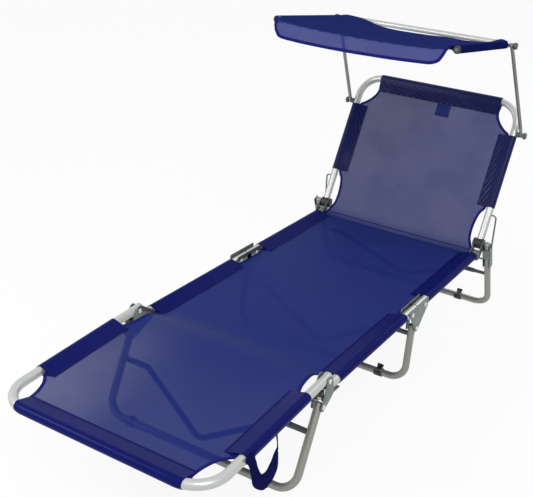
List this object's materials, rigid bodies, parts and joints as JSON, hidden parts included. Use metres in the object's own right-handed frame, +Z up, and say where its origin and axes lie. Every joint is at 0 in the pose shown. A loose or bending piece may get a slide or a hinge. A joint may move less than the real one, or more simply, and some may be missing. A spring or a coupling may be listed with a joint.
{
  "type": "folding sun lounger with canopy",
  "caption": "Folding sun lounger of bent tube and stretched mesh fabric, on U-shaped legs, with a reclining backrest and a tilting canopy.",
  "frame": {"origin": "on the floor, under the middle of the whole lounger's box", "axes": "+Y from the foot end to the head end, +Z up, +X to the user's left when lying face up"},
  "size_m": [0.6078, 1.6418, 0.9025],
  "materials": {
    "silver_tube": "silver powder coat on bent steel tube",
    "grey_tube": "grey powder coat on bent steel tube",
    "zinc_plate": "zinc-plated pressed steel",
    "bright_pin": "bright zinc-plated steel",
    "dark_band": "dark grey coat on steel tube",
    "black_plastic": "moulded black plastic",
    "grey_plastic": "moulded dark grey plastic",
    "mesh_fabric": "woven coated blue mesh",
    "navy_webbing": "woven navy webbing",
    "canopy_fabric": "woven navy cloth"
  },
  "bodies": {
    "rear_section": {"rear_rail_left": "silver_tube", "rear_rail_right": "silver_tube", "rear_bracket_left": "zinc_plate", "rear_bracket_right": "zinc_plate", "rear_panel": "mesh_fabric"},
    "centre_brackets": {"centre_bracket_left": "zinc_plate", "centre_bracket_right": "zinc_plate", "middle_fold_pin_left": "bright_pin", "middle_fold_pin_right": "bright_pin", "rear_fold_pin_left": "bright_pin", "rear_fold_pin_right": "bright_pin", "middle_leg_pin_left": "bright_pin", "middle_leg_pin_right": "bright_pin"},
    "middle_section": {"middle_rail_left": "silver_tube", "middle_rail_right": "silver_tube", "foot_hinge_bracket_left": "zinc_plate", "foot_hinge_bracket_right": "zinc_plate", "foot_stop_left": "black_plastic", "foot_stop_right": "black_plastic", "foot_pin_left": "bright_pin", "foot_pin_right": "bright_pin", "front_leg_pin_left": "bright_pin", "front_leg_pin_right": "bright_pin", "middle_panel": "mesh_fabric"},
    "foot_section": {"foot_frame": "silver_tube", "foot_panel": "mesh_fabric", "carry_strap": "navy_webbing"},
    "front_leg_frame": {"front_leg": "grey_tube", "front_brace": "dark_band", "front_foot_clip_left": "black_plastic", "front_foot_clip_right": "black_plastic"},
    "middle_leg_frame": {"middle_leg": "grey_tube", "middle_brace": "dark_band", "middle_foot_clip_left": "black_plastic", "middle_foot_clip_right": "black_plastic"},
    "rear_leg_frame": {"rear_leg": "grey_tube", "rear_brace": "dark_band", "rear_foot_clip_left": "black_plastic", "rear_foot_clip_right": "black_plastic", "toothed_channel_left": "zinc_plate", "toothed_channel_right": "zinc_plate"},
    "backrest_pivots": {"backrest_pivot_left": "black_plastic", "backrest_pivot_right": "black_plastic"},
    "backrest": {"backrest_frame": "silver_tube", "backrest_panel": "mesh_fabric"},
    "wire_bail": {"wire_support": "zinc_plate"},
    "arm_spacers": {"arm_spacer_left": "grey_plastic", "arm_spacer_right": "grey_plastic"},
    "canopy_arms": {"canopy_arm_left": "grey_tube", "canopy_arm_right": "grey_tube"},
    "canopy_washers": {"canopy_washer_left": "black_plastic", "canopy_washer_right": "black_plastic"},
    "canopy": {"canopy_frame": "silver_tube", "canopy_cloth": "canopy_fabric", "canopy_end_cap_left": "black_plastic", "canopy_end_cap_right": "black_plastic"},
    "lower_knob_left_body": {"lower_knob_left": "grey_plastic"},
    "lower_knob_right_body": {"lower_knob_right": "grey_plastic"},
    "upper_knob_left_body": {"upper_knob_left": "grey_plastic"},
    "upper_knob_right_body": {"upper_knob_right": "grey_plastic"}
  },
  "joints": [
    {"name": "rear_fold", "type": "hinge", "parent": "rear_section", "child": "centre_brackets", "pos_m": [0, 0.16877, 0.228], "axis": [1, 0, 0], "range_deg": [-85, 0]},
    {"name": "middle_fold", "type": "hinge", "parent": "centre_brackets", "child": "middle_section", "pos_m": [0, 0.08877, 0.228], "axis": [1, 0, 0], "range_deg": [-95, 0]},
    {"name": "foot_fold", "type": "hinge", "parent": "middle_section", "child": "foot_section", "pos_m": [0, -0.36423, 0.254], "axis": [1, 0, 0], "range_deg": [-180, 0]},
    {"name": "front_leg_fold", "type": "hinge", "parent": "middle_section", "child": "front_leg_frame", "pos_m": [0, -0.38423, 0.198], "axis": [1, 0, 0], "range_deg": [0, 108]},
    {"name": "middle_leg_fold", "type": "hinge", "parent": "centre_brackets", "child": "middle_leg_frame", "pos_m": [0, 0.12877, 0.174], "axis": [1, 0, 0], "range_deg": [0, 90]},
    {"name": "rear_leg_fold", "type": "hinge", "parent": "rear_section", "child": "rear_leg_frame", "pos_m": [0, 0.60577, 0.254], "axis": [1, 0, 0], "range_deg": [-93, 0]},
    {"name": "backrest_fold", "type": "hinge", "parent": "rear_section", "child": "backrest_pivots", "pos_m": [0, 0.60577, 0.254], "axis": [1, 0, 0], "range_deg": [0, 114]},
    {"name": "backrest_recline", "type": "hinge", "parent": "backrest_pivots", "child": "backrest", "pos_m": [0, 0.60577, 0.254], "axis": [1, 0, 0], "range_deg": [-62, 0]},
    {"name": "wire_swing", "type": "hinge", "parent": "backrest", "child": "wire_bail", "pos_m": [0, 0.64802, 0.33414], "axis": [1, 0, 0], "range_deg": [0, 62]},
    {"name": "canopy_stow_lower", "type": "hinge", "parent": "backrest", "child": "arm_spacers", "pos_m": [0, 0.76695, 0.55971], "axis": [1, 0, 0], "range_deg": [-58.6, 0]},
    {"name": "canopy_arm_angle", "type": "hinge", "parent": "arm_spacers", "child": "canopy_arms", "pos_m": [0, 0.76695, 0.55971], "axis": [-1, 0, 0], "range_deg": [-35, 57]},
    {"name": "canopy_stow_upper", "type": "hinge", "parent": "canopy_arms", "child": "canopy_washers", "pos_m": [0, 0.59287, 0.84943], "axis": [1, 0, 0], "range_deg": [-51.4, 0]},
    {"name": "canopy_tilt", "type": "hinge", "parent": "canopy_washers", "child": "canopy", "pos_m": [0, 0.59287, 0.84943], "axis": [1, 0, 0], "range_deg": [-30, 30]},
    {"name": "lower_knob_left_turn", "type": "hinge", "parent": "backrest", "child": "lower_knob_left_body", "pos_m": [-0.297, 0.76695, 0.55971], "axis": [-1, 0, 0], "continuous": true},
    {"name": "lower_knob_right_turn", "type": "hinge", "parent": "backrest", "child": "lower_knob_right_body", "pos_m": [0.297, 0.76695, 0.55971], "axis": [1, 0, 0], "continuous": true},
    {"name": "upper_knob_left_turn", "type": "hinge", "parent": "canopy", "child": "upper_knob_left_body", "pos_m": [-0.277, 0.59287, 0.84943], "axis": [-1, 0, 0], "continuous": true},
    {"name": "upper_knob_right_turn", "type": "hinge", "parent": "canopy", "child": "upper_knob_right_body", "pos_m": [0.277, 0.59287, 0.84943], "axis": [1, 0, 0], "continuous": true}
  ],
  "couplings": [
    {"joint": "wire_swing", "follows": "backrest_recline", "ratio": -1},
    {"joint": "canopy_stow_lower", "follows": "backrest_fold", "ratio": -0.505},
    {"joint": "canopy_stow_upper", "follows": "backrest_fold", "ratio": -0.442}
  ]
}
